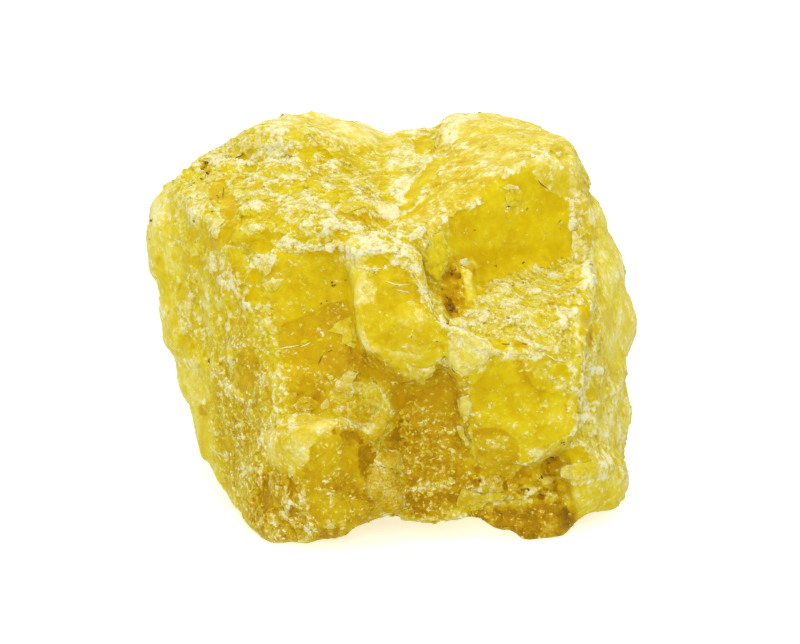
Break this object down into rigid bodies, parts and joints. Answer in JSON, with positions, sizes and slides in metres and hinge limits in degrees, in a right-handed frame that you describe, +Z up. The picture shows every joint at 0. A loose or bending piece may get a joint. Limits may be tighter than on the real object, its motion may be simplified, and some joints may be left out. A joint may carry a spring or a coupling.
{
  "type": "sulfur specimen",
  "caption": "Rough natural lump of native sulfur with a grooved top, stepped broken faces, smooth fracture hollows and clinging chips, standing on worn flats.",
  "frame": {"origin": "middle of the bounding box's underside, on the ground", "axes": "+Z up; the side seen in the picture faces -Y; +X to the right of that side"},
  "size_m": [0.0632, 0.0544, 0.0435],
  "materials": {
    "sulfur": "waxy, part powdery"
  },
  "bodies": {
    "root": {"sulfur_mass": "sulfur"}
  },
  "joints": []
}
